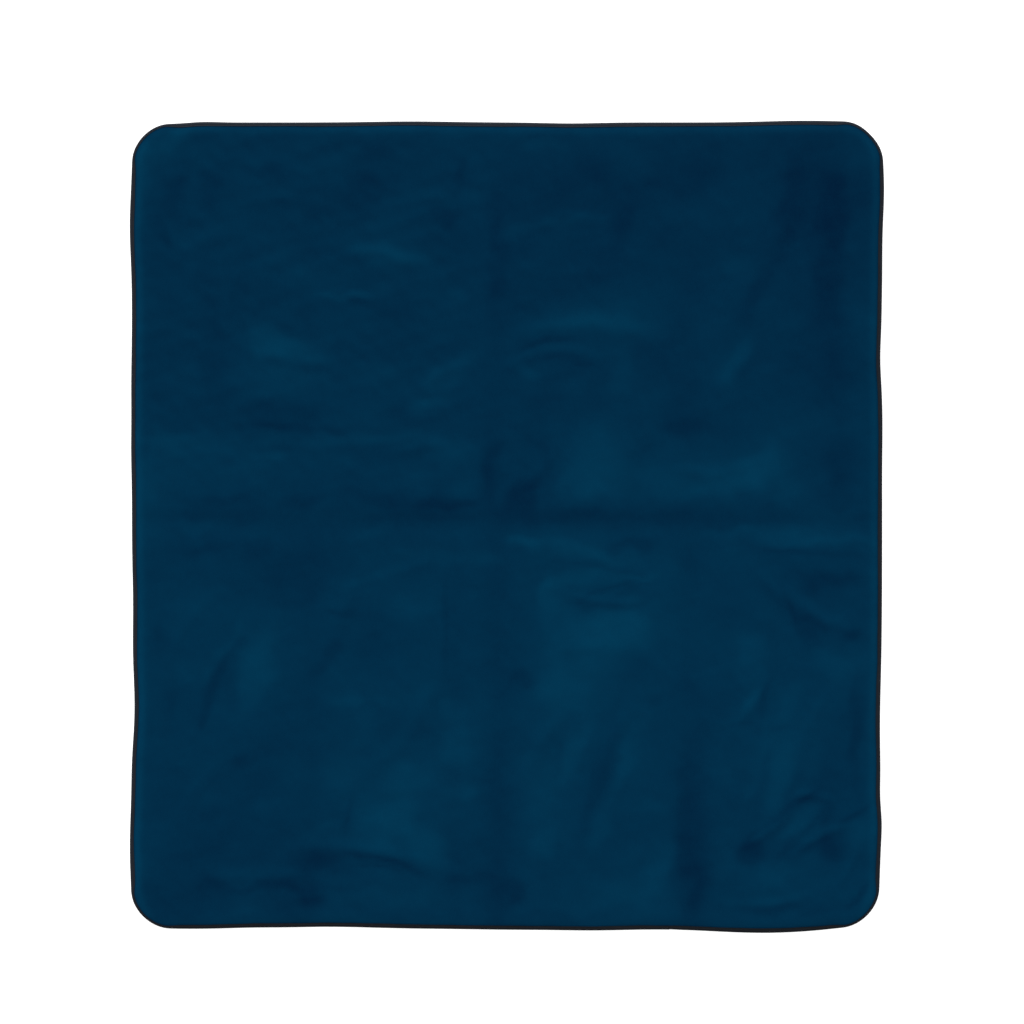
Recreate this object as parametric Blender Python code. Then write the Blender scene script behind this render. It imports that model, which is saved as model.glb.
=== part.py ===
"""Camp blanket: a fleece face on a thin foam core and a woven backing, bound all round with a sewn tape.

It lies flat on the ground with +Z up and its length along Y. The origin is under its middle, on the
ground. Every layer is made as a far half and a near half, which meet at the straight crease across the
middle. The near half turns about the fold axis, which runs along X just above the fleece, and comes to
lie face down on the far half.
"""

import math

import bmesh
import bpy

# Outline
WIDTH = 1.400
LENGTH = 1.507
CORNER_RADIUS = 0.072
CORNER_STEPS = 14

# Clearances between neighbouring pieces
CLEARANCE = 0.0003
CREASE_GAP = 0.0004

# Edge binding: one tape folded round the rim, two plies on each face
TAPE_WIDTH = 0.008
TAPE_THICKNESS = 0.0010
TAPE_EDGE_RADIUS = 0.0016

# The seam that holds the tape
THREAD_WIDTH = 0.0007
THREAD_HEIGHT = 0.00025
SEAM_FROM_TAPE_EDGE = 0.0022

# Layers, each with its thickness in the field and where the seam pinches it
LABEL_THICKNESS = 0.0003
BACKING_THICKNESS = 0.0004
FOAM_THICKNESS = 0.0022
FOAM_PINCHED = 0.0006
FLEECE_THICKNESS = 0.0032
FLEECE_PINCHED = 0.0012
SHOULDER_WIDTH = 0.016
SHOULDER_STEPS = 4

# Fold: how far the axis runs above the fleece, which is half the air left between the folded faces
FOLD_AIR = 0.0028

# Care label, sewn in at the near edge and lying under the backing
LABEL_WIDTH = 0.030
LABEL_LENGTH = 0.045
LABEL_X = 0.470

# Bar tack that closes the lap where the tape's two ends meet
TACK_X = 0.300
TACK_WIDTH = 0.0014
TACK_THICKNESS = 0.0004

# Heights of the stack, from the ground up
TAPE_LOWER_TOP = TAPE_THICKNESS
LABEL_BOTTOM = TAPE_LOWER_TOP + CLEARANCE
BACKING_BOTTOM = LABEL_BOTTOM + LABEL_THICKNESS + CLEARANCE
FOAM_BOTTOM = BACKING_BOTTOM + BACKING_THICKNESS + CLEARANCE
FLEECE_BOTTOM = FOAM_BOTTOM + FOAM_THICKNESS + CLEARANCE
FLEECE_TOP = FLEECE_BOTTOM + FLEECE_THICKNESS
FLEECE_BOTTOM_PINCHED = FOAM_BOTTOM + FOAM_PINCHED + CLEARANCE
FLEECE_TOP_PINCHED = FLEECE_BOTTOM_PINCHED + FLEECE_PINCHED
TAPE_UPPER_BOTTOM = FLEECE_TOP_PINCHED + CLEARANCE
TAPE_TOP = TAPE_UPPER_BOTTOM + TAPE_THICKNESS
FOLD_AXIS_HEIGHT = FLEECE_TOP + FOLD_AIR

# Insets from the outline
LAYER_EDGE = TAPE_THICKNESS + CLEARANCE
SHOULDER_START = TAPE_WIDTH + CLEARANCE
SEAM_INSET = TAPE_WIDTH - SEAM_FROM_TAPE_EDGE
GROOVE_DEPTH = THREAD_HEIGHT + CLEARANCE
GROOVE_HALF_WIDTH = THREAD_WIDTH / 2 + CLEARANCE

FAR = 1
NEAR = -1


def material(name, colour, roughness):
    """A plain Principled finish: colour, no metal."""
    finish = bpy.data.materials.new(name)
    finish.use_nodes = True
    shader = finish.node_tree.nodes["Principled BSDF"]
    shader.inputs["Base Color"].default_value = (*colour, 1.0)
    shader.inputs["Roughness"].default_value = roughness
    shader.inputs["Metallic"].default_value = 0.0
    return finish


def half_outline(inset, side):
    """The outline of one half, drawn in by an inset: up one edge, round two corners, down the other edge.

    The two ends stand on the crease, and each corner is an arc of the corner radius less the inset.
    """
    half_width = WIDTH / 2 - inset
    half_length = LENGTH / 2 - inset
    radius = CORNER_RADIUS - inset
    crease = CREASE_GAP / 2
    points = [(-half_width, side * crease)]
    for start_angle, centre_x in ((math.pi, radius - half_width), (math.pi / 2, half_width - radius)):
        for step in range(CORNER_STEPS + 1):
            angle = start_angle - step / CORNER_STEPS * math.pi / 2
            x = centre_x + radius * math.cos(angle)
            y = half_length - radius + radius * math.sin(angle)
            points.append((x, side * y))
    points.append((half_width, side * crease))
    return points


def carried_section(name, section, side, closed, finish, parent):
    """A closed solid made by carrying a section of (inset, height) points round one half's outline.

    Neighbouring points' outlines are joined by four-sided faces. An open section is closed by a face
    over its first outline and one under its last, and the whole section closes each half at the crease.
    """
    shell = bmesh.new()
    rings = []
    for inset, height in section:
        ring = [shell.verts.new((x, y, height)) for x, y in half_outline(inset, side)]
        rings.append(ring)
    pairs = list(zip(rings, rings[1:]))
    if closed:
        pairs.append((rings[-1], rings[0]))
    for ring, following in pairs:
        for index in range(len(ring) - 1):
            shell.faces.new((ring[index], ring[index + 1], following[index + 1], following[index]))
    left_ends = [ring[0] for ring in rings]
    right_ends = [ring[-1] for ring in rings]
    if closed:
        shell.faces.new(left_ends)
        shell.faces.new(right_ends)
    else:
        shell.faces.new(rings[0])
        shell.faces.new(rings[-1])
        shell.faces.new(left_ends + right_ends[::-1])
    return finished_piece(name, shell, finish, parent)


def slab(name, low, high, finish, parent):
    """A flat block between two corners."""
    shell = bmesh.new()
    bmesh.ops.create_cube(shell, size=1.0)
    for vert in shell.verts:
        for axis in range(3):
            vert.co[axis] = low[axis] if vert.co[axis] < 0 else high[axis]
    return finished_piece(name, shell, finish, parent)


def finished_piece(name, shell, finish, parent):
    """Turns a bmesh in world places into a named object, with its origin on its parent empty."""
    bmesh.ops.recalc_face_normals(shell, faces=shell.faces)
    bmesh.ops.translate(shell, verts=shell.verts, vec=-parent.location)
    mesh = bpy.data.meshes.new(name)
    shell.to_mesh(mesh)
    shell.free()
    mesh.materials.append(finish)
    mesh.shade_smooth()
    mesh.set_sharp_from_angle(angle=math.radians(30))
    piece = bpy.data.objects.new(name, mesh)
    bpy.context.collection.objects.link(piece)
    piece.parent = parent
    return piece


def joint_empty(name, height):
    """An empty on the crease that a half's pieces hang from."""
    empty = bpy.data.objects.new(name, None)
    empty.location = (0.0, 0.0, height)
    bpy.context.collection.objects.link(empty)
    return empty


def shouldered(pinched, full):
    """The (inset, height) points of a face that is pinched under the tape and swells inside it.

    The swell is a quarter of a sine wave, so that it is steep beside the tape and level in the field.
    """
    points = [(LAYER_EDGE, pinched), (SHOULDER_START, pinched)]
    for step in range(1, SHOULDER_STEPS + 1):
        along = step / SHOULDER_STEPS
        inset = SHOULDER_START + along * SHOULDER_WIDTH
        points.append((inset, pinched + (full - pinched) * math.sin(along * math.pi / 2)))
    return points


def layer_section(top, bottom):
    """A layer's section: in along its top face from the middle, round its edge, and back along its bottom."""
    return top[::-1] + bottom


def tape_section():
    """The tape's closed section: a C round the rim, with a groove in each face where the seam sinks in."""
    groove = [
        (SEAM_INSET - GROOVE_HALF_WIDTH, 0.0),
        (SEAM_INSET - GROOVE_HALF_WIDTH, GROOVE_DEPTH),
        (SEAM_INSET + GROOVE_HALF_WIDTH, GROOVE_DEPTH),
        (SEAM_INSET + GROOVE_HALF_WIDTH, 0.0),
    ]
    turn = TAPE_EDGE_RADIUS
    lean = turn * (1 - math.sqrt(0.5))
    lower = [(0.0, turn), (lean, lean), (turn, 0.0), *groove, (TAPE_WIDTH, 0.0)]
    upper = [(inset, TAPE_TOP - height) for inset, height in reversed(lower)]
    inside = [
        (TAPE_WIDTH, TAPE_LOWER_TOP),
        (TAPE_THICKNESS, TAPE_LOWER_TOP),
        (TAPE_THICKNESS, TAPE_UPPER_BOTTOM),
        (TAPE_WIDTH, TAPE_UPPER_BOTTOM),
    ]
    return lower + inside + upper


def thread_section(low):
    """A thread's closed section, centred on the seam."""
    inner = SEAM_INSET + THREAD_WIDTH / 2
    outer = SEAM_INSET - THREAD_WIDTH / 2
    high = low + THREAD_HEIGHT
    return [(outer, low), (inner, low), (inner, high), (outer, high)]


def build_half(prefix, side, parent, finishes):
    """All the layers, the tape and the two threads of one half."""
    fleece = layer_section(
        shouldered(FLEECE_TOP_PINCHED, FLEECE_TOP),
        shouldered(FLEECE_BOTTOM_PINCHED, FLEECE_BOTTOM),
    )
    foam = layer_section(
        shouldered(FOAM_BOTTOM + FOAM_PINCHED, FOAM_BOTTOM + FOAM_THICKNESS),
        [(LAYER_EDGE, FOAM_BOTTOM)],
    )
    backing = [(LAYER_EDGE, BACKING_BOTTOM + BACKING_THICKNESS), (LAYER_EDGE, BACKING_BOTTOM)]
    needle_low = TAPE_TOP - THREAD_HEIGHT
    for piece, section, closed in (
        ("fleece", fleece, False),
        ("foam", foam, False),
        ("backing", backing, False),
        ("binding", tape_section(), True),
        ("needle_thread", thread_section(needle_low), True),
        ("bobbin_thread", thread_section(0.0), True),
    ):
        carried_section(f"{prefix}_{piece}", section, side, closed, finishes[piece], parent)


def build_label(parent, finish):
    """The care label: its sewn end is inside the tape, and the rest lies under the backing."""
    outer_y = -(LENGTH / 2 - LAYER_EDGE - CLEARANCE)
    low = (LABEL_X - LABEL_WIDTH / 2, outer_y, LABEL_BOTTOM)
    high = (LABEL_X + LABEL_WIDTH / 2, outer_y + LABEL_LENGTH, LABEL_BOTTOM + LABEL_THICKNESS)
    slab("care_label", low, high, finish, parent)


def build_tack(parent, finish):
    """The bar tack, across the tape's upper face between its outer turn and the seam."""
    outer_y = -(LENGTH / 2 - TAPE_EDGE_RADIUS)
    inner_y = -(LENGTH / 2 - SEAM_INSET + GROOVE_HALF_WIDTH + CLEARANCE)
    bottom = TAPE_TOP + CLEARANCE
    low = (TACK_X - TACK_WIDTH / 2, outer_y, bottom)
    high = (TACK_X + TACK_WIDTH / 2, inner_y, bottom + TACK_THICKNESS)
    slab("bar_tack", low, high, finish, parent)


def main():
    for thing in list(bpy.data.objects):
        bpy.data.objects.remove(thing)
    finishes = {
        "fleece": material("fleece_pile", (0.001, 0.025, 0.061), 0.95),
        "foam": material("foam_sheet", (0.55, 0.53, 0.48), 0.90),
        "backing": material("coated_weave", (0.022, 0.024, 0.027), 0.60),
        "binding": material("binding_tape", (0.018, 0.024, 0.029), 0.80),
        "needle_thread": material("needle_yarn", (0.016, 0.021, 0.026), 0.65),
        "bobbin_thread": material("bobbin_yarn", (0.016, 0.021, 0.026), 0.65),
        "label": material("label_satin", (0.60, 0.60, 0.58), 0.55),
        "tack": material("tack_yarn", (0.016, 0.021, 0.026), 0.65),
    }
    ground = joint_empty("ground_middle", 0.0)
    fold_axis = joint_empty("half_fold_axis", FOLD_AXIS_HEIGHT)
    build_half("far", FAR, ground, finishes)
    build_half("near", NEAR, fold_axis, finishes)
    build_label(fold_axis, finishes["label"])
    build_tack(fold_axis, finishes["tack"])


main()
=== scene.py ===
import math

import bpy
import numpy as np
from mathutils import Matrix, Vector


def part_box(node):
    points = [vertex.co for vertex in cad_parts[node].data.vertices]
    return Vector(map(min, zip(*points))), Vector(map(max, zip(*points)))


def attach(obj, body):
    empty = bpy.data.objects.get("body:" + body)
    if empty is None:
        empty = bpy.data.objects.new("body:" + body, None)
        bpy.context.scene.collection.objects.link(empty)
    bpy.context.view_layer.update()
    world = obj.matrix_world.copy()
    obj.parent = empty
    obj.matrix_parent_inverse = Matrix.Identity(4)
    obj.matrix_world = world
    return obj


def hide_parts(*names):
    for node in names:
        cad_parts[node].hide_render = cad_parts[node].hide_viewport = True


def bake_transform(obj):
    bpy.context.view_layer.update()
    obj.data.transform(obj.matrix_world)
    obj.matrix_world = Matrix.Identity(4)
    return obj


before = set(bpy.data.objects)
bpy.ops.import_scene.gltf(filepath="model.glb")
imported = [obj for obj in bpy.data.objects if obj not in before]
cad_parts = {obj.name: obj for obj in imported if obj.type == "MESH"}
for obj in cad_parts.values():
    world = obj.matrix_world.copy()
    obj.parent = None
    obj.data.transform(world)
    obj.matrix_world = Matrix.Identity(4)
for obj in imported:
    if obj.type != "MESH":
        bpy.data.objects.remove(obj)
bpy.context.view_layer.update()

# ---- sizes, from the frame

MM = 0.001
TAPE_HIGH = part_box("far_binding")[1]
HALF_WIDTH = TAPE_HIGH.x
HALF_LENGTH = TAPE_HIGH.y
TAPE_TOP = TAPE_HIGH.z
LAYER_EDGE = HALF_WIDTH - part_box("far_fleece")[1].x
FLEECE_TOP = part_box("far_fleece")[1].z
FOAM_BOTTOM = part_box("far_foam")[0].z
BACKING_BOTTOM, BACKING_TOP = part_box("far_backing")[0].z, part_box("far_backing")[1].z
CAD_THREAD_RADIUS = 0.35 * MM
SEAM_INSET = HALF_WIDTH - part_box("far_needle_thread")[1].x + CAD_THREAD_RADIUS

CORNER_RADIUS = 72 * MM
TAPE_WIDTH = 8 * MM
TAPE_THICKNESS = 1.0 * MM
TAPE_ROUND = 4.7 * MM
TAPE_LAP = 14 * MM
CORNER_NARROWING = 0.38
LAP_EASE = 2 * MM
LAP_THINNING = 14 * MM
LAP_NECK = 26 * MM
SEAM_DIP = 0.40 * MM
LAYER_TUCK = 1.3 * MM
LAYER_INSET = LAYER_EDGE + LAYER_TUCK
LABEL_THICKNESS = 0.16 * MM
LABEL_GAP = 0.50 * MM
LABEL_SAG = 0.62 * MM

# The fleece lies lowest in its creases and swells between them.
FIELD_BASE = FLEECE_TOP - 1.2 * MM
RIM_TOP = 4.7 * MM
SHOULDER = 17 * MM
FLEECE_PINCHED = 1.2 * MM
FLEECE_FULL = 2.7 * MM
FOAM_PINCHED = 0.6 * MM
FOAM_LEAST = 1.1 * MM
FOAM_BELOW_FLEECE = 3.6 * MM
FOAM_DRAWN_UP = 0.35 * MM
FOAM_DRAWN_WIDTH = 16 * MM

# Swell, lift and hang are worked out in millimetres.
MOST_SWELL = 3.9
MOST_LIFT = 0.78
MOST_HANG = 1.3

# Grid lines draw together near the rim and the fold.
FINE_WIDTH = 16 * MM
FINENESS = 2.4
TAPE_FINE_WIDTH = 14 * MM
TAPE_FINENESS = 2.5
TAPE_RINGS = 1380
FLANGE_POINTS = 7
CAP_STEPS = 3
UNDER_GRID = (128, 144, 1)
FLEECE_GRID = (272, 288, 8)

# Thread
STITCH_PITCH = 4.0 * MM
STITCH_LENGTH = 3.6 * MM
STITCH_DIVE = 0.60 * MM
STITCH_RINGS = 6
STITCH_SIDES = 6
STITCH_SKEW = 0.10 * MM
THREAD_RADIUS = 0.26 * MM
TACK_THREAD_RADIUS = 0.20 * MM
TWIST_PITCH = 0.9 * MM
TACK_X = (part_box("bar_tack")[0].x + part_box("bar_tack")[1].x) / 2
TACK_HALF_WIDTH = 0.8 * MM
TACK_OUTER = 1.0 * MM
TACK_INNER = 5.2 * MM
TACK_ZIGZAGS = 11

# Waves in the cloth and its nap: (seed, how many, shortest and longest in metres, heading in degrees
# and how far the headings spread).
PILLOW_WAVES = (3, 14, (0.16, 0.40), 60, 90)
CREASE_WAVES = (5, 4, (0.3, 0.7), 0, 20)
FIELD_RIPPLES = (11, 26, (0.028, 0.075), 88, 50)
NEAR_RIPPLES = (17, 22, (0.030, 0.080), 15, 40)
LIFT_WAVES = (23, 10, (0.18, 0.5), 40, 90)
NAP_WAVES = (31, 24, (0.05, 0.25), 45, 90)
NAP_RIPPLES = (37, 30, (0.018, 0.05), 80, 70)
WANDER_ACROSS = (41, 12, (0.05, 0.16), 0, 180)
WANDER_ALONG = (43, 12, (0.05, 0.16), 0, 180)
FOLD_WAVES = (47, 6, (0.2, 0.5), 0, 10)
TAPE_WAVES = (53, 14, (0.05, 0.30), 45, 90)
HANG_WAVES = (61, 16, (0.07, 0.30), 35, 90)

# Weaves
RIB_PITCH = 0.75 * MM
RIPSTOP_PITCH = 5.0 * MM
WEAVE_PITCH = 0.9 * MM
SATIN_PITCH = 0.35 * MM

# Colours
FLEECE_DEEP = (0.00035, 0.0110, 0.0368, 1.0)
FLEECE_BRIGHT = (0.0007, 0.0430, 0.0945, 1.0)
NAP_TONE = 0.455
# Painted light: how much lighter the fleece is painted where it slopes towards the far edge, where the light
# comes from.
PAINTED_SLOPE_LIGHT = 1.4
TAPE_DEEP = (0.001, 0.0018, 0.0030, 1.0)
TAPE_PALE = (0.022, 0.028, 0.040, 1.0)
THREAD_DEEP = (0.004, 0.006, 0.008, 1.0)
THREAD_PALE = (0.014, 0.019, 0.024, 1.0)
BACKING_DEEP = (0.006, 0.007, 0.009, 1.0)
BACKING_PALE = (0.026, 0.028, 0.032, 1.0)
FOAM_DEEP = (0.30, 0.28, 0.23, 1.0)
FOAM_PALE = (0.66, 0.63, 0.56, 1.0)
LABEL_DEEP = (0.50, 0.50, 0.47, 1.0)
LABEL_PALE = (0.74, 0.74, 0.71, 1.0)

# Camera and light
VIEW_WIDTH = 1.9115
VIEW_MIDDLE = (0.0097, 0.0255)
FLOOR_REACH = 60.0
FLOOR_GLOW = 0.70
FLOOR_WHITE = (0.92, 0.92, 0.92, 1.0)
SKY_STRENGTH = 0.62
HORIZON_FADE = (0.10, 0.25)
KEY_STRENGTH = 1.9
KEY_ELEVATION = 34
KEY_SPREAD = 35
KEY_TURN = 20


# ---- how the cloth lies

def bump(distance, width):
    """A bell: one at no distance, falling away as exp(-(distance / width) squared)."""
    return np.exp(-((distance / width) ** 2))


def ramp(value, low, high):
    """A smooth step from 0 at low to 1 at high: three t squared less two t cubed."""
    t = np.clip((value - low) / (high - low), 0.0, 1.0)
    return t * t * (3.0 - 2.0 * t)


def ripples(x, y, seed, count, lengths, heading, spread):
    """A sum of plane waves with a root mean square of one, each the sine of its phase plus its number
    times the distance along its heading, where the number is two pi over its length.

    The lengths lie between the two given, and the headings lie round the one given, within the
    spread, both in degrees.
    """
    draw = np.random.default_rng(seed)
    total = np.zeros_like(x)
    for _ in range(count):
        turn = math.radians(heading + spread * draw.uniform(-1, 1))
        number = 2 * math.pi / math.exp(draw.uniform(math.log(lengths[0]), math.log(lengths[1])))
        phase = draw.uniform(0, 2 * math.pi)
        total = total + np.sin(number * (x * math.cos(turn) + y * math.sin(turn)) + phase)
    return total / math.sqrt(count / 2)


def inset_of(x, y):
    """How far a point lies inside the rounded outline: the outline's signed distance, turned round."""
    across = np.abs(x) - (HALF_WIDTH - CORNER_RADIUS)
    along = np.abs(y) - (HALF_LENGTH - CORNER_RADIUS)
    outside = np.hypot(np.maximum(across, 0), np.maximum(along, 0))
    return CORNER_RADIUS - outside - np.minimum(np.maximum(across, along), 0)


# How each edge strays outwards: (place along the edge, half-width of the stray, how far), in metres.
LEFT_STRAY = ((0.0, 1.5, 0.0006), (0.56, 0.08, 0.0040), (0.26, 0.08, 0.0014), (0.14, 0.06, 0.0014),
              (-0.15, 0.08, -0.0020), (-0.34, 0.09, -0.0048), (-0.44, 0.06, 0.0012), (-0.60, 0.09, 0.0040))
RIGHT_STRAY = ((0.63, 0.08, 0.0050), (0.48, 0.08, 0.0014), (0.31, 0.05, -0.0024), (0.19, 0.07, 0.0012),
               (0.00, 0.26, 0.0015), (-0.38, 0.11, -0.0028), (-0.51, 0.04, -0.0018), (-0.56, 0.04, 0.0014),
               (-0.68, 0.08, -0.0028))
FAR_STRAY = ((-0.18, 0.11, 0.0018), (0.12, 0.07, -0.0018), (0.56, 0.11, 0.0032), (-0.57, 0.04, 0.0024),
             (-0.62, 0.07, -0.0026))
NEAR_STRAY = ((-0.48, 0.06, -0.0014), (-0.33, 0.12, -0.0038), (0.00, 0.09, 0.0014), (0.16, 0.10, 0.0028),
              (0.48, 0.13, 0.0074), (0.68, 0.08, -0.0062))


def stray(places, along):
    """The sum of an edge's strays at a place along it."""
    return sum(far * bump(along - centre, width) for centre, width, far in places)


# How far each corner is drawn in towards the middle: (side, end, across, along, half-width of the pull).
CORNER_PULLS = ((-1, 1, 0.0024, 0.0012, 0.045), (1, 1, 0.0022, 0.0010, 0.030),
                (-1, -1, 0.0000, 0.0026, 0.045), (1, -1, 0.0028, 0.0000, 0.050))


def laid(x, y):
    """Where a point of the cut cloth lies on the ground: pulled by the strays of the edges it is near.

    Each corner is also drawn in, by a bell round the middle of its curve.
    """
    right = 0.5 + 0.5 * x / HALF_WIDTH
    far = 0.5 + 0.5 * y / HALF_LENGTH
    across = right ** 2 * stray(RIGHT_STRAY, y) - (1 - right) ** 2 * stray(LEFT_STRAY, y)
    along = far ** 2 * stray(FAR_STRAY, x) - (1 - far) ** 2 * stray(NEAR_STRAY, x)
    for side, end, pull_x, pull_y, width in CORNER_PULLS:
        curve_x = side * (HALF_WIDTH - 0.3 * CORNER_RADIUS)
        curve_y = end * (HALF_LENGTH - 0.3 * CORNER_RADIUS)
        near_curve = bump(np.hypot(x - curve_x, y - curve_y), width)
        across = across - side * pull_x * near_curve
        along = along - end * pull_y * near_curve
    return x + across, y + along


def cornering(x, y):
    """How far a point is into one of the rounded corners, from 0 on the straight edges to 1."""
    across = np.abs(x) - (HALF_WIDTH - CORNER_RADIUS)
    along = np.abs(y) - (HALF_LENGTH - CORNER_RADIUS)
    return ramp(np.minimum(across, along), -22 * MM, 18 * MM)


def tape_reach(x, y):
    """The tape's face as a share of its full width: narrower round the corners, and wandering a little."""
    return 1 - CORNER_NARROWING * cornering(x, y) + 0.035 * ripples(x, y, *TAPE_WAVES)


# Creases that run the whole length: (place across, far-half depth, near-half depth, width).
LONG_CREASES = ((-0.015, 0.4, 1.6, 0.026), (0.340, 0.2, 1.25, 0.023), (-0.365, 0.3, 0.8, 0.020),
                (-0.095, 0.1, 0.8, 0.014))

def creases(x, near, spread):
    """The sum of the long creases' depths at a place across, each under a bell of its width.

    near is 0 where the far half's depths hold and 1 where the near half's do; spread widens the bells.
    """
    total = 0.0
    for place, far_depth, near_depth, width in LONG_CREASES:
        depth = far_depth + (near_depth - far_depth) * near
        total = total + depth * bump(x - place, spread * width)
    return total


# Soft ridges, in millimetres: (x, y) of one end and of the other, how far the middle bows to the left,
# half-width, height.
RIDGES = (
    # near left
    (-430, -605, -80, -650, 16, 16, 1.7), (-600, -655, -340, -640, -10, 14, 0.7),
    (-570, -340, -440, -150, 20, 20, 0.5), (-640, -270, -530, -120, 16, 12, 0.5),
    (-330, -250, -250, -60, 12, 15, 0.7), (-290, -480, -140, -280, -30, 18, 1.0),
    (-620, -560, -500, -420, 12, 14, 0.5), (-250, -95, -130, -60, -6, 10, 0.5),
    # near right
    (100, -125, 270, -140, -10, 10, 1.3), (40, -200, 270, -215, -20, 18, 0.8),
    (30, -520, 130, -330, 22, 15, 1.0), (170, -500, 240, -330, 14, 13, 0.9),
    (440, -60, 680, -210, -22, 14, 1.4), (500, -100, 640, -250, 10, 11, 0.7),
    (420, -600, 560, -490, -16, 10, 1.2), (520, -625, 640, -560, 10, 10, 0.9),
    (530, -500, 620, -520, 8, 9, 0.9), (400, -450, 500, -290, 18, 14, 0.8),
    (550, -440, 610, -300, 10, 12, 0.7), (400, -700, 580, -685, -10, 10, 0.8),
    (620, -680, 660, -560, -12, 10, 0.9),
    # far left
    (-520, 345, -330, 300, -12, 12, 0.9), (-340, 430, -240, 415, 6, 10, 0.8),
    (-300, 515, -160, 475, 10, 12, 0.9), (-620, 500, -460, 545, 12, 12, 0.6),
    (-500, 610, -300, 590, 10, 11, 0.5), (-170, 240, -60, 300, 14, 12, 0.9),
    (-240, 130, -60, 150, 8, 12, 0.7), (-500, 150, -100, 175, -12, 10, 0.4),
    # far right
    (-10, 346, 310, 341, 36, 22, 1.3), (-20, 280, 200, 300, 36, 12, 0.9), (50, 560, 170, 575, 8, 12, 0.8),
    (20, 480, 200, 475, -6, 12, 0.4), (390, 250, 470, 350, -12, 14, 0.9),
    (440, 480, 550, 640, -20, 18, 0.8), (580, 420, 620, 660, 10, 16, 0.7),
    (280, 115, 480, 125, -22, 14, 0.9), (20, 60, 100, 170, -10, 12, 0.8),
)


def ridge(x, y, x0, y0, x1, y1, bow, width, height):
    """A ridge along a shallow arc between two ends, a bell across and fading out at both ends.

    Along the chord the place t runs from 0 to 1. The arc stands off the chord by the bow times
    four t (1 - t), and the ridge's height fades in the same way.
    """
    run = math.hypot(x1 - x0, y1 - y0)
    ux, uy = (x1 - x0) / run, (y1 - y0) / run
    t = ((x - x0) * ux + (y - y0) * uy) / run
    off = (y - y0) * ux - (x - x0) * uy
    arch = np.clip(4 * t * (1 - t), 0, 1)
    return height * arch * bump(off - bow * arch, width)


def swell(x, y):
    """The fleece's height over its base, in millimetres, before it is pinched at the rim.

    Broad pillows between the creases, less the crease valleys, plus the ridges and fine ripples.
    """
    near = ramp(y, 0.05, -0.05)
    pillow = 1.9 + 0.45 * ripples(x, y, *PILLOW_WAVES)
    drift = 0.004 * ripples(y, x, *CREASE_WAVES)
    valley = 1 - 0.40 * creases(x + drift, near, 1.0)
    cross = bump(y, 0.026)
    height = pillow * valley * (1 - cross) + 0.15 * cross
    for line in RIDGES:
        height = height + ridge(x / MM, y / MM, *line) * (1 - 0.8 * cross)
    left_far = ramp(x, 0.1, -0.2) * ramp(y, 0.0, 0.15)
    height = height + (0.05 + 0.06 * left_far) * ripples(x, y, *FIELD_RIPPLES) * (1 - cross)
    height = height + 0.05 * ripples(x, y, *NEAR_RIPPLES) * near * (1 - cross)
    return np.clip(height, 0.0, MOST_SWELL)


def lift(x, y):
    """How far the whole sandwich is off the ground, in millimetres: slow waves, and never below it."""
    return np.clip(0.27 + 0.27 * ripples(x, y, *LIFT_WAVES), 0.0, MOST_LIFT)


def fleece_top(x, y):
    """The fleece's upper face: pinched flat under the tape, then up a shoulder to the swell."""
    inset = inset_of(x, y)
    start = TAPE_WIDTH * tape_reach(x, y) - 0.4 * MM
    t = np.clip((inset - start) / SHOULDER, 0, 1)
    up = np.sin(t * math.pi / 2) ** 0.8
    field = FIELD_BASE + swell(x, y) * MM
    return RIM_TOP + (field - RIM_TOP) * up + lift(x, y) * MM * (1 - 0.9 * up)
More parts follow.
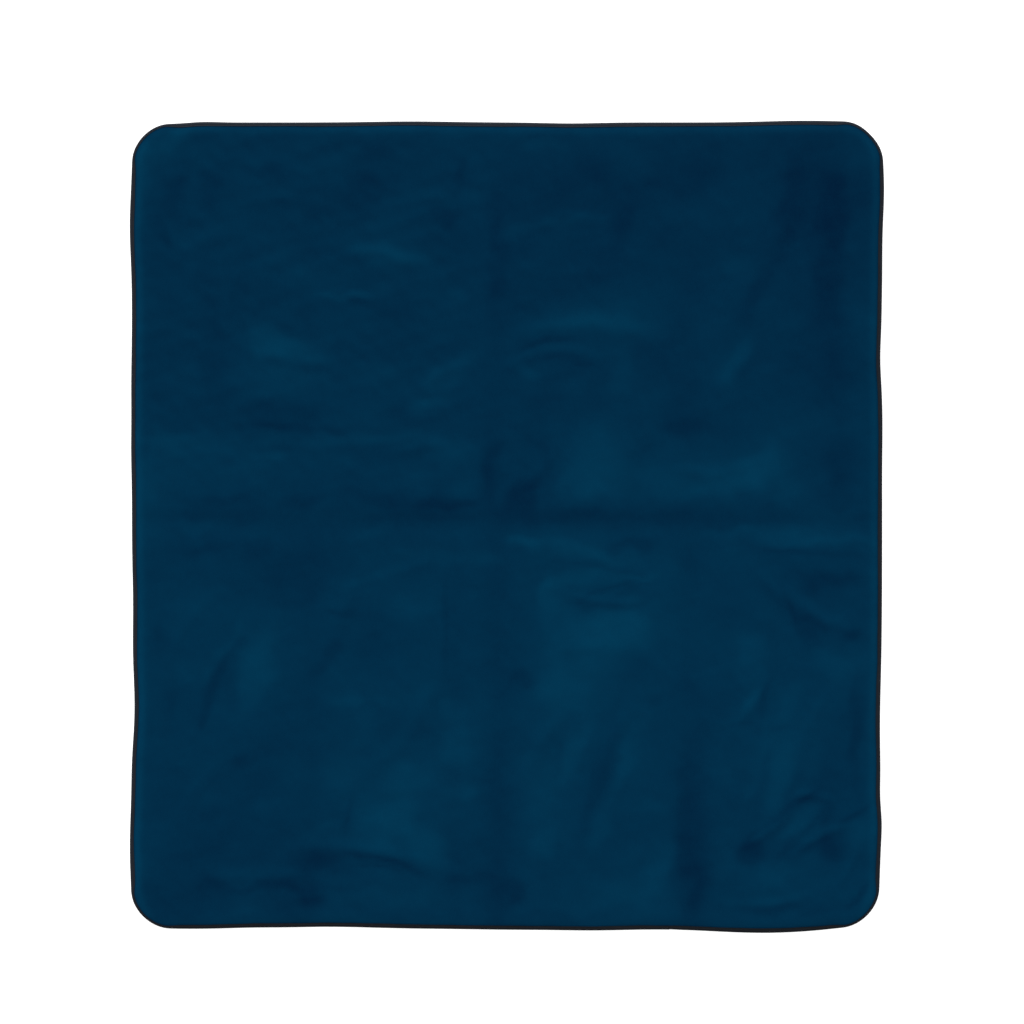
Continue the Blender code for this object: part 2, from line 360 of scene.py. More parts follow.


# Where the fleece is lighter or darker, in soft patches: (x, y), half-length and half-width in millimetres,
# heading in degrees, strength in hundredths.
TONE_PATCHES = (
    # broad tones
    (450, 620, 350, 140, 0, -8), (590, 600, 140, 110, 90, -7), (80, 560, 160, 160, 0, -7),
    (220, -150, 120, 90, 0, 12), (350, 80, 210, 34, 0, 11), (-620, 100, 80, 70, 0, 8),
    (-420, 140, 200, 50, 0, 7), (-450, -35, 220, 40, 0, -8), (150, -45, 75, 35, 0, 9),
    (-220, -430, 90, 50, 0, 7), (60, -450, 60, 60, 0, 9), (-550, -480, 150, 120, 0, -5),
    (-580, -650, 80, 50, 0, -6), (200, -715, 130, 30, 0, 10), (550, -350, 50, 50, 0, 5),
    (560, -470, 100, 60, 0, -3), (640, 690, 50, 40, 0, 10), (-300, 600, 60, 50, 0, -10),
    (200, 500, 60, 40, 0, -7), (400, 600, 60, 50, 0, 6), (560, 340, 110, 70, 80, -10),
    (195, 395, 80, 45, 0, 14), (-410, 300, 90, 60, 0, 10), (-400, 205, 70, 30, 0, -8),
    (-240, 190, 100, 50, 0, 5), (340, 115, 140, 45, 0, 9), (-500, 100, 50, 40, 0, 5),
    (-670, 5, 50, 60, 0, 15), (-200, 0, 60, 40, 0, -5), (-400, -100, 70, 50, 0, -11),
    (110, -290, 160, 60, 90, 8), (200, -200, 60, 50, 0, 5), (-420, -420, 120, 60, 80, -6),
    (510, -400, 60, 50, 0, 12), (600, -500, 60, 50, 0, -10), (440, -500, 70, 50, 0, -5),
    (-480, -590, 120, 50, 0, -7), (-600, -700, 90, 45, 0, -15), (-400, -700, 60, 45, 0, -12),
    (0, -670, 60, 80, 0, -7), (-12, -550, 200, 28, 90, -5), (335, -600, 130, 42, 88, -7),
    (640, 18, 80, 14, 0, 9), (-200, -520, 90, 80, 60, 6),
    # far left
    (-630, 715, 60, 22, 38, 22), (-675, 660, 60, 16, 88, 12), (-250, 704, 110, 16, 0, -8),
    (-620, 615, 50, 22, 80, -13), (-550, 640, 35, 22, 90, -10), (-440, 662, 55, 12, -4, -12),
    (-645, 560, 40, 14, -60, -14), (-250, 640, 60, 40, 0, -5), (-165, 618, 50, 15, 0, 11),
    (-62, 612, 28, 18, 0, 15), (-560, 530, 90, 20, 4, 5), (-225, 506, 62, 20, -14, 24),
    (-150, 490, 40, 22, 0, 8), (-300, 427, 55, 10, 0, 25), (-360, 455, 35, 22, -30, 8),
    (-450, 352, 45, 24, -24, 20), (-385, 325, 48, 17, -18, 22), (-345, 348, 28, 14, -40, 10),
    (-410, 265, 85, 35, 0, 8), (-250, 285, 55, 20, 6, 8), (-105, 282, 70, 20, 36, 16),
    (-138, 228, 38, 10, 0, 18), (-560, 460, 50, 30, 90, -9), (-540, 300, 120, 24, 90, -9),
    (-500, 430, 50, 14, 80, -8), (-120, 575, 35, 14, 0, -16), (-80, 660, 30, 16, 80, -13),
    (-195, 400, 55, 26, 0, -7), (-620, 160, 90, 20, -6, 16), (-670, 100, 60, 22, 88, 14),
    (-440, 134, 30, 11, 0, 16), (-470, 95, 60, 28, 0, 8), (-215, 160, 60, 13, 2, 14),
    (-110, 140, 45, 26, -10, 22), (-175, 96, 22, 12, -30, 14), (-80, 70, 20, 20, 90, 10),
    (-390, 182, 120, 9, -3, -14), (-115, 45, 50, 16, 4, -24), (-240, 50, 60, 14, -10, -14),
    (-385, 45, 35, 16, 0, -15), (-530, 46, 60, 12, 0, -12), (-20, 500, 120, 16, 90, -10),
    (-28, 110, 60, 18, 90, -20), (-100, 410, 60, 20, 80, 5),
    # far right
    (600, 545, 170, 34, 88, -21), (530, 600, 90, 28, 84, -14), (660, 605, 28, 22, 0, -8),
    (330, 645, 70, 38, 0, -13), (160, 668, 42, 32, 0, -12), (215, 560, 55, 22, 84, -12),
    (70, 712, 40, 12, 4, 12), (115, 566, 65, 15, 4, 20), (22, 546, 24, 14, 30, 12),
    (460, 565, 60, 20, 52, 6), (425, 478, 38, 18, 0, 9), (470, 440, 70, 22, 62, -14),
    (520, 370, 70, 30, 84, 4), (430, 312, 42, 18, 46, 22), (410, 262, 26, 24, 0, 10),
    (620, 330, 120, 30, 88, -10), (215, 300, 55, 18, 88, 12), (42, 286, 22, 14, -30, 16),
    (120, 258, 40, 12, 0, 8), (330, 330, 130, 50, 86, -7), (165, 125, 75, 55, 80, 24),
    (158, 66, 35, 14, 0, 12), (105, 80, 30, 14, 60, 12), (475, 112, 50, 32, 20, 28),
    (420, 80, 80, 24, 4, 14), (525, 70, 30, 18, 70, 12), (330, 55, 50, 20, 0, 10),
    (505, 160, 60, 18, 20, 8), (330, 185, 45, 22, 0, -12), (25, 55, 34, 24, 70, -26),
    (65, 140, 35, 13, -60, -14), (620, 110, 90, 28, 88, -12), (100, 20, 120, 14, 0, -14),
    (360, 10, 120, 12, 0, -8),
    # near left
    (-580, 0, 40, 10, 0, 12), (-255, -12, 36, 10, 14, 12), (-470, -40, 35, 18, 0, -14),
    (-560, -46, 45, 14, 0, -12), (-110, -57, 100, 8, 0, 10), (-30, -66, 26, 10, 0, 14),
    (-260, -100, 60, 12, 10, 12), (-180, -152, 60, 24, 8, 11), (-300, -166, 36, 10, -4, -18),
    (-335, -245, 55, 14, 56, -14), (-465, -262, 58, 32, 78, 28), (-488, -322, 28, 16, 80, 14),
    (-535, -235, 75, 14, 55, 13), (-610, -280, 40, 22, 30, 12), (-550, -300, 80, 12, 66, -15),
    (-575, -360, 26, 16, 90, -12), (-650, -210, 40, 14, 90, -13), (-632, -330, 60, 14, 88, -9),
    (-560, -140, 60, 40, 0, 5), (-490, -436, 22, 18, 0, -13), (-555, -505, 22, 20, 90, 7),
    (-452, -522, 20, 18, 80, 11), (-280, -330, 45, 16, -8, 17), (-275, -382, 30, 22, 60, 9),
    (-160, -308, 28, 18, 30, 10), (-100, -345, 30, 20, -30, 12), (-92, -412, 40, 34, 80, 26),
    (-75, -492, 30, 16, 0, 15), (-190, -470, 45, 30, 10, 20), (-225, -545, 55, 40, 14, 24),
    (-155, -590, 50, 28, -50, 24), (-310, -480, 35, 24, 0, 10), (-350, -572, 34, 20, 30, 12),
    (-360, -636, 60, 22, 0, -22), (-130, -640, 30, 10, -20, 6), (-430, -676, 140, 9, 0, -16),
    (-200, -698, 80, 18, 0, 12), (-610, -672, 40, 26, 0, 7), (-362, -702, 18, 16, 0, -20),
    (-500, -590, 140, 50, 0, -7), (-60, -240, 30, 18, 0, 7), (-245, -240, 60, 40, 0, -6),
    (-60, -660, 50, 16, 0, -12), (-205, -380, 30, 30, 40, -8),
    # near right
    (30, -30, 34, 14, -4, 28), (150, -48, 75, 13, -14, 24), (130, -98, 70, 16, 12, 22),
    (245, -96, 34, 8, 4, 16), (200, -132, 80, 15, 6, -16), (240, -36, 45, 14, 0, -20),
    (190, -195, 95, 42, 4, 22), (245, -180, 32, 26, 80, 10), (145, -285, 65, 52, 20, 22),
    (80, -130, 45, 18, 84, 18), (85, -270, 60, 24, 84, 14), (235, -275, 30, 16, 20, -12),
    (270, -325, 18, 12, 0, -15), (250, -350, 90, 30, 88, 5), (30, -290, 20, 16, 0, -18),
    (126, -425, 62, 15, 70, 20), (165, -490, 120, 16, 72, -13), (220, -450, 58, 17, 74, 17),
    (180, -555, 45, 12, 68, 13), (72, -590, 28, 22, 88, 18), (60, -480, 70, 30, 88, 9),
    (270, -520, 40, 22, 0, 11), (285, -640, 70, 24, 66, 15), (190, -680, 90, 24, 0, 10),
    (20, -680, 26, 20, 0, -19), (110, -732, 90, 10, 0, -10), (350, -560, 160, 30, 86, -13),
    (362, -670, 50, 28, 80, -16), (455, -235, 50, 24, 88, 18), (448, -332, 36, 14, 68, 20),
    (484, -315, 55, 11, 74, -13), (535, -330, 30, 18, 70, 10), (520, -372, 35, 7, -6, -12),
    (512, -470, 75, 18, 72, 22), (462, -470, 60, 12, 74, 10), (570, -440, 50, 18, 88, 6),
    (545, -22, 140, 15, -3, 20), (560, -3, 60, 7, 2, 10), (600, -100, 65, 22, -6, -22),
    (565, -200, 36, 20, -50, -18), (635, -200, 28, 18, 40, -14), (570, -150, 75, 40, -30, -8),
    (620, -262, 50, 20, 0, 12), (656, -390, 110, 13, 90, -16), (540, -548, 40, 16, 40, 20),
    (450, -612, 34, 18, 20, -20), (605, -600, 26, 26, 30, -26), (600, -550, 30, 16, 60, -16),
    (540, -595, 50, 12, -4, -15), (425, -625, 20, 26, 60, 14), (500, -640, 40, 20, 0, 12),
    (660, -580, 22, 30, 30, 12), (530, -712, 90, 10, 0, -10), (655, -695, 30, 8, 42, -20),
)

# Fine lines of painted shade along the creases, and a few of painted highlight on their crests: (x, y) of
# both ends, bow and half-width in millimetres, strength in hundredths.
CREASE_SHADE_LINES = (
    (-10, 346, 310, 346, 34, 16, 22), (10, 318, 150, 345, 14, 6, -20), (115, 305, 165, 303, 0, 6, -18),
    (70, -60, 280, -100, 4, 4, -14), (120, -145, 290, -108, 16, 5, -18), (420, -30, 690, -58, -6, 6, -16),
    (470, -575, 610, -488, 14, 7, -26), (610, -556, 690, -518, -6, 6, -22),
    (530, -580, 600, -520, -6, 5, -12), (440, -600, 480, -560, 4, 6, -14),
    (-310, -608, -130, -660, 8, 6, -22), (-300, -632, -180, -652, 4, 4, -12),
    (-275, -500, -305, -590, -6, 6, -16), (-280, -352, -230, -350, 18, 6, -15),
    (-360, 590, -310, 545, 4, 5, 12), (-480, 660, -440, 620, 0, 5, 10), (-120, -70, -118, -300, 4, 6, -12),
    (395, -380, 470, -360, 2, 5, -12), (-600, 135, -500, 140, 4, 6, 10), (500, -100, 540, -200, 10, 6, -14),
)


def patch(x, y, centre_x, centre_y, half_length, half_width, heading, strength):
    """A soft oval patch: the strength times exp(-d cubed).

    d is the distance from the middle, measured in half-lengths along the heading and half-widths
    across it.
    """
    turn = math.radians(heading)
    along = (x - centre_x) * math.cos(turn) + (y - centre_y) * math.sin(turn)
    across = (y - centre_y) * math.cos(turn) - (x - centre_x) * math.sin(turn)
    return strength * np.exp(-((along / half_length) ** 2 + (across / half_width) ** 2) ** 1.5)


def nap(x, y):
    """The fleece's tone, from 0 to 1: patches, painted light where the cloth slopes towards the far edge,
    painted shade in the creases, along the fold and at the tape's edge, lines of painted shade and highlight
    along the creases, painted sheen along the rim, and random waves.
    """
    step = 2 * MM
    lean_and_light = (swell(x, y - step) - swell(x, y + step)) * MM / (2 * step)
    # Painted light and shade: lighter where the cloth slopes towards the light beyond the far edge, darker
    # where it slopes away. The far half is also a little darker overall.
    tone = NAP_TONE + PAINTED_SLOPE_LIGHT * lean_and_light * (1 - 0.75 * bump(y, 0.05)) - 0.045 * np.tanh(y / 0.15)
    wander_x = 5 * MM * ripples(x, y, *WANDER_ACROSS)
    wander_y = 5 * MM * ripples(x, y, *WANDER_ALONG)
    for oval in TONE_PATCHES:
        tone = tone + 0.01 * patch((x + wander_x) / MM, (y + wander_y) / MM, *oval)
    # Lines of painted shade along the creases, a few of them painted highlights on the crests.
    for line in CREASE_SHADE_LINES:
        tone = tone + 0.01 * ridge((x + 0.3 * wander_x) / MM, (y + 0.3 * wander_y) / MM, *line)
    # Painted shade in the long creases, and in a band just beyond the fold where its far flank faces away
    # from the light.
    tone = tone - 0.055 * creases(x, ramp(y, 0.02, -0.05), 1.1)
    tone = tone - 0.035 * (1 + 0.6 * ripples(x, 0 * y, *FOLD_WAVES)) * bump(y - 0.018, 0.012)
    tone = tone + 0.022 * ripples(x, y, *NAP_WAVES)
    tone = tone + 0.010 * ripples(x, y, *NAP_RIPPLES)
    inset = inset_of(x, y)
    side = ramp(np.abs(x), HALF_WIDTH - 50 * MM, HALF_WIDTH - 20 * MM)
    far = ramp(y, HALF_LENGTH - 50 * MM, HALF_LENGTH - 20 * MM)
    # Painted sheen on the shoulder inside the tape: strongest along the sides, less at the far end, least at
    # the near end.
    rim = bump(inset - 15 * MM, 9 * MM)
    tone = tone + rim * (0.02 + 0.22 * side + 0.12 * far * (1 - side))
    # Painted shade where the fleece meets the tape's inner edge.
    tone = tone - 0.16 * bump(inset - TAPE_WIDTH * tape_reach(x, y), 1.6 * MM)
    return np.clip(tone, 0.02, 0.98)


def fleece_thickness(x, y):
    """The fleece's thickness: pinched under the tape, full in the field."""
    full = ramp(inset_of(x, y), TAPE_WIDTH, TAPE_WIDTH + SHOULDER)
    return FLEECE_PINCHED + (FLEECE_FULL - FLEECE_PINCHED) * full


def foam_top(x, y):
    """The foam's upper face, a fleece's thickness and a little more below the fleece's."""
    inset = inset_of(x, y)
    t = np.clip((inset - TAPE_WIDTH) / SHOULDER, 0, 1)
    up = np.sin(t * math.pi / 2)
    rim = FOAM_BOTTOM + FOAM_PINCHED + lift(x, y) * MM
    field = fleece_top(x, y) - FOAM_BELOW_FLEECE
    return rim + (np.maximum(field, FOAM_BOTTOM + FOAM_LEAST) - rim) * up


def foam_thickness(x, y):
    """The foam's thickness: down to a flat lower face, which is drawn up a little along the fold."""
    drawn_up = FOAM_DRAWN_UP * bump(y, FOAM_DRAWN_WIDTH)
    return foam_top(x, y) - FOAM_BOTTOM - lift(x, y) * MM - drawn_up


def backing_top(x, y):
    """The backing's upper face: it hangs from the rim in slow waves that the long creases draw up again."""
    wave = 0.55 + 0.30 * ripples(x, y, *HANG_WAVES)
    wave = wave - 0.70 * creases(x, 0.5, 0.6)
    hang = np.clip(wave * (1 - bump(y, 0.020)), 0, 1) * ramp(inset_of(x, y), 55 * MM, 150 * MM)
    return BACKING_TOP + (lift(x, y) - MOST_HANG * hang) * MM


def backing_thickness(x, y):
    """The backing's thickness, the same everywhere."""
    return np.full_like(x, BACKING_TOP - BACKING_BOTTOM)


# ---- meshes

def spaced_lines(half, count, fine_places, fine_width, fineness):
    """Places from -half to half, closer together near the fine places.

    The lines' density is one plus the fineness times a bell round each fine place; the places are
    where the density's running total passes equal shares.
    """
    sample = np.linspace(-half, half, 20001)
    density = np.ones_like(sample)
    for place in fine_places:
        density = density + fineness * bump(sample - place, fine_width)
    total = np.concatenate(([0.0], np.cumsum((density[1:] + density[:-1]) / 2)))
    return np.interp(np.linspace(0, total[-1], count + 1), total, sample)


def cloth_grid(columns, rows):
    """The points of a grid that fills the layers' outline.

    Off the corners the grid's lines are straight. In each corner's square the lines bend by the
    elliptical rule, s root(1 - t t / 2) and t root(1 - s s / 2), which carries a square onto a
    quarter disc.
    """
    half_width, half_length = HALF_WIDTH - LAYER_INSET, HALF_LENGTH - LAYER_INSET
    radius = CORNER_RADIUS - LAYER_INSET
    across = spaced_lines(half_width, columns, (-half_width, half_width), FINE_WIDTH, FINENESS)
    along = spaced_lines(half_length, rows, (-half_length, 0.0, half_length), FINE_WIDTH, FINENESS)
    x, y = np.meshgrid(across, along, indexing="ij")
    s = (np.abs(x) - (half_width - radius)) / radius
    t = (np.abs(y) - (half_length - radius)) / radius
    corner = (s > 0) & (t > 0)
    s, t = np.where(corner, s, 0), np.where(corner, t, 0)
    bent_x = half_width - radius + radius * s * np.sqrt(1 - t * t / 2)
    bent_y = half_length - radius + radius * t * np.sqrt(1 - s * s / 2)
    x = np.where(corner, np.sign(x) * bent_x, x)
    y = np.where(corner, np.sign(y) * bent_y, y)
    return x, y


def quad_faces(index):
    """Four-sided faces of a grid of point numbers, wound so that they face up."""
    corners = (index[:-1, :-1], index[1:, :-1], index[1:, 1:], index[:-1, 1:])
    return np.stack(corners, axis=-1).reshape(-1, 4)


def fan_faces(fine, coarse, stride):
    """Triangles between a fine row of points and a coarse row with a point every stride.

    Each fine edge runs to its nearest coarse point, and where that point changes one more triangle
    fills the gap.
    """
    nearest = (np.arange(len(fine)) + stride // 2) // stride
    spokes = np.stack((fine[:-1], fine[1:], coarse[nearest[:-1]]), axis=1)
    turned = nearest[1:] != nearest[:-1]
    gaps = np.stack((fine[1:][turned], coarse[nearest[1:]][turned], coarse[nearest[:-1]][turned]), axis=1)
    faces = np.concatenate((spokes, gaps))
    whole = (faces[:, 0] != faces[:, 1]) & (faces[:, 1] != faces[:, 2]) & (faces[:, 0] != faces[:, 2])
    return faces[whole]


def placed(name, data):
    """A new object in the scene, at the origin."""
    made = bpy.data.objects.new(name, data)
    bpy.context.scene.collection.objects.link(made)
    return made


def new_piece(name, points, face_sets, **kept):
    """A new smooth object from an array of points and arrays of faces.

    Each array in kept stays on the points as an attribute of that name, for the materials: three
    numbers a point or one.
    """
    points = points.reshape(-1, 3)
    faces = [face for faces in face_sets for face in faces.tolist()]
    mesh = bpy.data.meshes.new(name)
    mesh.from_pydata(points.tolist(), [], faces)
    mesh.update()
    mesh.shade_smooth()
    for attribute, values in kept.items():
        vector = values.size == points.size
        made = mesh.attributes.new(attribute, "FLOAT_VECTOR" if vector else "FLOAT", "POINT")
        numbers = np.ascontiguousarray(values, np.float32).ravel()
        made.data.foreach_set("vector" if vector else "value", numbers)
    return placed(name, mesh)


def layer_piece(name, columns, rows, stride, top, thickness):
    """A closed layer: a grid for its upper face, and a grid with every stride-th column for its lower one.

    The two faces share the outline's points, which stand half way down its thickness. Along the two
    short edges, where the columns don't match, a fan of triangles joins them. top gives the upper
    face's height, and thickness how far the lower face is below it.
    """
    x, y = cloth_grid(columns, rows)
    high, thick = top(x, y), thickness(x, y)
    rim = np.zeros(x.shape, bool)
    rim[[0, -1], :] = True
    rim[:, [0, -1]] = True
    upper = np.arange(x.size).reshape(x.shape)
    kept_columns = np.arange(0, columns + 1, stride)
    lower = upper[kept_columns, :].copy()
    inner = lower[1:-1, 1:-1]
    lower[1:-1, 1:-1] = x.size + np.arange(inner.size).reshape(inner.shape)
    at = np.ix_(kept_columns[1:-1], np.arange(1, rows))
    cut_x = np.concatenate((x.ravel(), x[at].ravel()))
    cut_y = np.concatenate((y.ravel(), y[at].ravel()))
    z = np.concatenate((np.where(rim, high - thick / 2, high).ravel(), (high - thick)[at].ravel()))
    faces = (
        quad_faces(upper),
        quad_faces(lower[:, 1:-1])[:, ::-1],
        fan_faces(upper[:, 0], lower[:, 1], stride)[:, ::-1],
        fan_faces(upper[:, -1], lower[:, -2], stride),
    )
    points = np.stack((*laid(cut_x, cut_y), z), axis=1)
    # Each layer keeps the fleece's tone as a point attribute, painted light and shade included.
    return new_piece(name, points, faces, cloth=np.stack((cut_x, cut_y, z), axis=1), nap=nap(cut_x, cut_y))


# ---- the rim, for the tape and its seam

SIDE = 2 * (HALF_LENGTH - CORNER_RADIUS)
END = 2 * (HALF_WIDTH - CORNER_RADIUS)
TURN = CORNER_RADIUS * math.pi / 2
JOIN_X = TACK_X - 10 * MM
FIRST = HALF_WIDTH - CORNER_RADIUS - JOIN_X
RUNS = (FIRST, TURN, SIDE, TURN, END, TURN, SIDE, TURN, END - FIRST)
PERIMETER = sum(RUNS)


def rim_place(run):
    """Where the rim is after a run along it from the tape's join, and its outward direction there.

    The way goes right along the near edge and on round: straight stretches with a quarter circle
    between each two. Every stretch starts where the last one ended.
    """
    run = np.mod(run, PERIMETER)
    x, y = np.full_like(run, JOIN_X), np.full_like(run, -HALF_LENGTH)
    out = np.full_like(run, -math.pi / 2)
    for index, length in enumerate(RUNS):
        here = np.clip(run, 0, length)
        heading = out + math.pi / 2
        if index % 2:
            angle = here / CORNER_RADIUS
            x = x + CORNER_RADIUS * (np.cos(out + angle) - np.cos(out))
            y = y + CORNER_RADIUS * (np.sin(out + angle) - np.sin(out))
            out = out + angle
        else:
            x = x + here * np.cos(heading)
            y = y + here * np.sin(heading)
        run = run - length
    return x, y, np.cos(out), np.sin(out)


def beside_rim(run, inset, height):
    """Points at an inset from the rim and a height off the ground, with the strays and the lift added."""
    x, y, out_x, out_y = rim_place(run)
    inset = inset * tape_reach(x, y)
    cut_x, cut_y = x - inset * out_x, y - inset * out_y
    lie_x, lie_y = laid(cut_x, cut_y)
    return np.stack((lie_x, lie_y, height + lift(cut_x, cut_y) * MM), axis=-1)


def seam_dip(inset):
    """How far the seam pulls the tape's face in at an inset: a narrow bell on the seam."""
    return SEAM_DIP * bump(inset - SEAM_INSET, 0.9 * MM)


def tape_line(count):
    """The middle of the tape's thickness, as (inset, height), from one inner edge round to the other.

    Two flat flanges joined by half of a squared-off oval, whose sine and cosine are raised to four
    fifths. The seam pulls a groove in each flange.
    """
    half = TAPE_TOP / 2
    reach_up = half - TAPE_THICKNESS / 2
    reach_out = TAPE_ROUND - TAPE_THICKNESS / 2
    flange = np.linspace(TAPE_WIDTH - TAPE_THICKNESS / 2, TAPE_ROUND + 0.2 * MM, count)
    angle = np.linspace(math.pi / 2, -math.pi / 2, 2 * count - 3)
    round_inset = TAPE_ROUND - reach_out * np.cos(angle) ** 0.8
    round_height = half + reach_up * np.sign(angle) * np.abs(np.sin(angle)) ** 0.8
    upper = TAPE_TOP - TAPE_THICKNESS / 2 - seam_dip(flange)
    lower = TAPE_THICKNESS / 2 + seam_dip(flange)
    inset = np.concatenate((flange, round_inset, flange[::-1]))
    height = np.concatenate((upper, round_height, lower[::-1]))
    return inset, height


def walked(*coordinates):
    """How far along a line each of its points is, from its coordinates: the running sum of its steps."""
    steps = np.sqrt(sum(np.diff(values) ** 2 for values in coordinates))
    return np.concatenate(([0.0], np.cumsum(steps)))


def thick_line(inset, height, outer, inner, cap_steps):
    """The closed outline of a line given a thickness, from its outer face round to its inner one.

    outer and inner are how far the two faces stand from the line, on its left and on its right; half
    a circle rounds off each end.
    """
    step_in, step_up = np.gradient(inset), np.gradient(height)
    size = np.hypot(step_in, step_up)
    ahead = np.stack((step_in, step_up)) / size
    left = np.stack((ahead[1], -ahead[0]))
    half = (outer + inner) / 2
    middle = np.stack((inset, height)) + (outer - inner) / 2 * left
    turn = np.linspace(0, math.pi, cap_steps + 2)[1:-1]

    def cap(index, sign):
        """Half a circle round one end of the line, from one face to the other."""
        side, forward = sign * left[:, index, None], sign * ahead[:, index, None]
        return middle[:, index, None] + half * (side * np.cos(turn) + forward * np.sin(turn))

    faces = (middle + half * left, cap(-1, 1), (middle - half * left)[:, ::-1], cap(0, -1))
    return np.concatenate(faces, axis=1)


def tube_faces(rings, sides):
    """Faces of a closed tube of rings, with one flat face over each end."""
    index = np.arange(rings * sides).reshape(rings, sides)
    wrapped = np.concatenate((index, index[:, :1]), axis=1)
    return quad_faces(wrapped), index[:1, ::-1], index[-1:, :]


def rim_runs(count, start, stop):
    """Places along the rim, closer together where the tape crosses the fold."""
    folds = (FIRST + TURN + SIDE / 2, FIRST + TURN + SIDE + TURN + END + TURN + SIDE / 2)
    middle, half = (start + stop) / 2, (stop - start) / 2
    fine_places = [fold - middle for fold in folds]
    return middle + spaced_lines(half, count, fine_places, TAPE_FINE_WIDTH, TAPE_FINENESS)


def tape_sunk(run):
    """The share of its outer half that the tape's first end has lost: all of it under the lap."""
    return 1 - ramp(run, TAPE_LAP + LAP_EASE, TAPE_LAP + LAP_NECK)


def binding_piece():
    """The tape: its section carried round the rim, with its first end under its last.

    Where the ends lap, each is thinned to half: the last end keeps the outer half of the thickness
    and the first end the inner half. Between them the section changes evenly.
    """
    line = tape_line(FLANGE_POINTS)
    half = TAPE_THICKNESS / 2
    whole = thick_line(*line, half, half, CAP_STEPS)
    outer_half = thick_line(*line, half, -0.05 * half, CAP_STEPS)
    inner_half = thick_line(*line, -0.05 * half, half, CAP_STEPS)
    run = rim_runs(TAPE_RINGS, 0.0, PERIMETER + TAPE_LAP)
    first = tape_sunk(run)[:, None]
    last = ramp(run, PERIMETER - LAP_THINNING, PERIMETER - LAP_EASE)[:, None]
    section = whole[:, None, :] * (1 - first - last)
    section = section + inner_half[:, None, :] * first + outer_half[:, None, :] * last
    all_inset, all_height = section
    runs = np.broadcast_to(run[:, None], all_inset.shape)
    points = beside_rim(runs, all_inset, all_height)
    across = np.broadcast_to(walked(*whole), all_inset.shape)
    kept = np.stack((runs, across, all_inset), axis=-1)
    _, _, out_x, out_y = rim_place(runs)
    # Painted light and shade: the tape is painted lighter on its far and left sides, towards the light, and
    # darker on its near side.
    faded = 0.25 + 0.60 * out_y - 0.12 * out_x
    faces = tube_faces(*all_inset.shape)
    return new_piece("edge_binding", points, faces, run=kept, faded=faded)


def stitch_tubes(name, face, sign):
    """A row of stitches along the seam, each a short thread that arches out of the tape and dives back in.

    Each thread's middle line is a flattened arch, height one less the fourth power of its place, and
    its section is a circle. sign is 1 on the upper face and -1 on the lower one.
    """
    count = int(PERIMETER / STITCH_PITCH)
    middles = (np.arange(count) + 0.5) * PERIMETER / count
    place = np.linspace(-1, 1, STITCH_RINGS)
    arch = 1 - place ** 4
    thin = np.sqrt(1 - 0.45 * place ** 2)
    angle = np.arange(STITCH_SIDES) / STITCH_SIDES * 2 * math.pi
    run = middles[:, None, None] + place[None, :, None] * STITCH_LENGTH / 2 + 0 * angle
    side = THREAD_RADIUS * thin[None, :, None] * np.cos(angle)[None, None, :]
    side = side + STITCH_SKEW * place[None, :, None]
    up = THREAD_RADIUS * thin[None, :, None] * np.sin(angle)[None, None, :]
    up = up + (arch[None, :, None] - 1) * STITCH_DIVE + 0.5 * THREAD_RADIUS
    inset = SEAM_INSET + side + 0 * run
    sunk = TAPE_THICKNESS / 2 * tape_sunk(run) * (run > TAPE_LAP)
    height = face + sign * (up - SEAM_DIP - sunk)
    points = beside_rim(run, inset, height)
    index = np.arange(run.size).reshape(count, STITCH_RINGS, STITCH_SIDES)
    wrapped = np.concatenate((index, index[:, :, :1]), axis=2)
    corners = (wrapped[:, :-1, :-1], wrapped[:, 1:, :-1], wrapped[:, 1:, 1:], wrapped[:, :-1, 1:])
    walls = np.stack(corners, axis=-1).reshape(-1, 4)
    starts, ends = index[:, 0, ::-1], index[:, -1, :]
    faces = [faces if sign < 0 else faces[:, ::-1] for faces in (walls, starts, ends)]
    kept = np.stack((run, np.broadcast_to(angle, run.shape), inset), axis=-1)
    return new_piece(name, points, faces, run=kept)


def tube_along(name, line, radius, sides):
    """A round thread along a line of points: at each point a circle square to the line."""
    ahead = np.gradient(line, axis=0)
    ahead = ahead / np.linalg.norm(ahead, axis=1, keepdims=True)
    upright = np.array([0.0, 0.0, 1.0])
    beside = np.cross(ahead, upright)
    beside = beside / np.linalg.norm(beside, axis=1, keepdims=True)
    above = np.cross(beside, ahead)
    angle = np.arange(sides) / sides * 2 * math.pi
    cosine, sine = np.cos(angle)[None, :, None], np.sin(angle)[None, :, None]
    ring = beside[:, None, :] * cosine + above[:, None, :] * sine
    points = line[:, None, :] + radius * ring
    runs = np.broadcast_to(walked(*line.T)[:, None], points.shape[:2])
    kept = np.stack((runs, np.broadcast_to(angle, runs.shape), runs), axis=-1)
    faces = tube_faces(len(line), sides)
    return new_piece(name, points, faces, run=kept)


def bar_tack_piece():
    """The bar tack: one thread that zigzags across the tape, close enough to make a solid bar.

    Its place along the bar rises evenly while its place across is a triangle wave.
    """
    count = 20 * TACK_ZIGZAGS + 1
    t = np.linspace(0, 1, count)
    wave = 2 / math.pi * np.arcsin(np.sin(2 * math.pi * TACK_ZIGZAGS * t))
    x = TACK_X + wave * TACK_HALF_WIDTH
    inset = TACK_OUTER + t * (TACK_INNER - TACK_OUTER)
    cut_y = -HALF_LENGTH + inset
    lie_x, lie_y = laid(x, cut_y)
    over = 0.22 * MM - 0.40 * MM * np.abs(wave) ** 6
    rounding = 1.2 * MM * np.clip(1 - inset / (2.6 * MM), 0, 1) ** 2
    z = TAPE_TOP + over - rounding + lift(x, cut_y) * MM
    line = np.stack((lie_x, lie_y, z), axis=1)
    return tube_along("bar_tack_stitches", line, TACK_THREAD_RADIUS, STITCH_SIDES)


